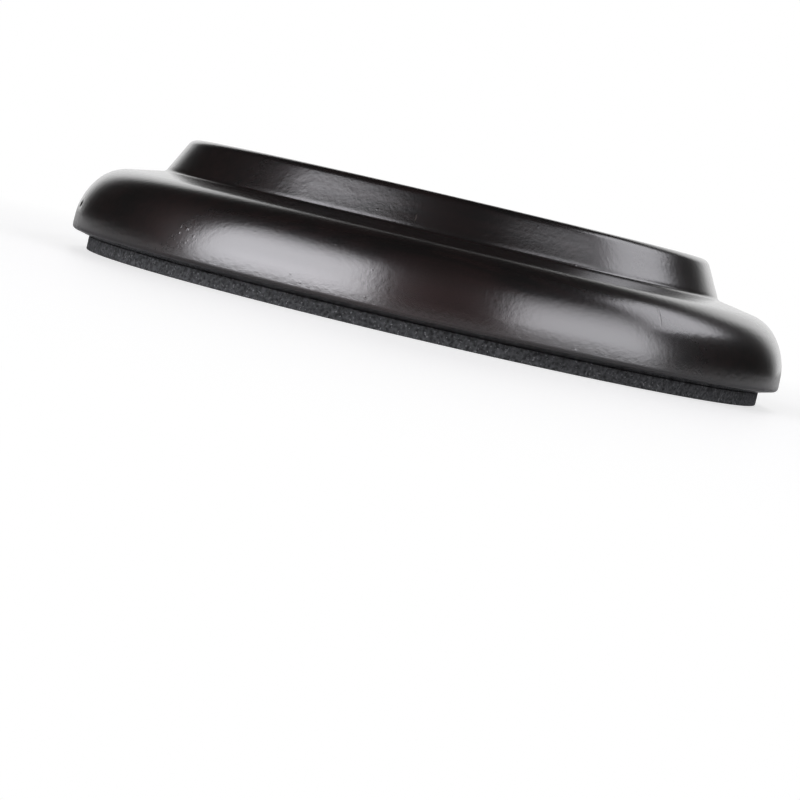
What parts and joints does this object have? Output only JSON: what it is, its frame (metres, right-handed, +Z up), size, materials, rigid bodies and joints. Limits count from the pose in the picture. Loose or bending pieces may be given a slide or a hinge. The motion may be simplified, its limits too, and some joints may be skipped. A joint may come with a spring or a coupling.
{
  "type": "castor cup",
  "caption": "Round turned-wood castor cup with a leaning rim, rounded flange and foam base pad; a piano or furniture castor stands in its recess.",
  "frame": {"origin": "centre of the foam pad's underside, on the floor at the turning axis", "axes": "+Z up along the turning axis; the cup is round, so X and Y lie level in any direction, and -Y faces the viewer"},
  "size_m": [0.14, 0.14, 0.025],
  "materials": {
    "stained_wood": "dark espresso stain under a satin clear lacquer",
    "foam": "matte closed-cell foam, granular cut edge"
  },
  "bodies": {
    "root": {"turned_cup": "stained_wood", "foam_pad": "foam"}
  },
  "joints": []
}
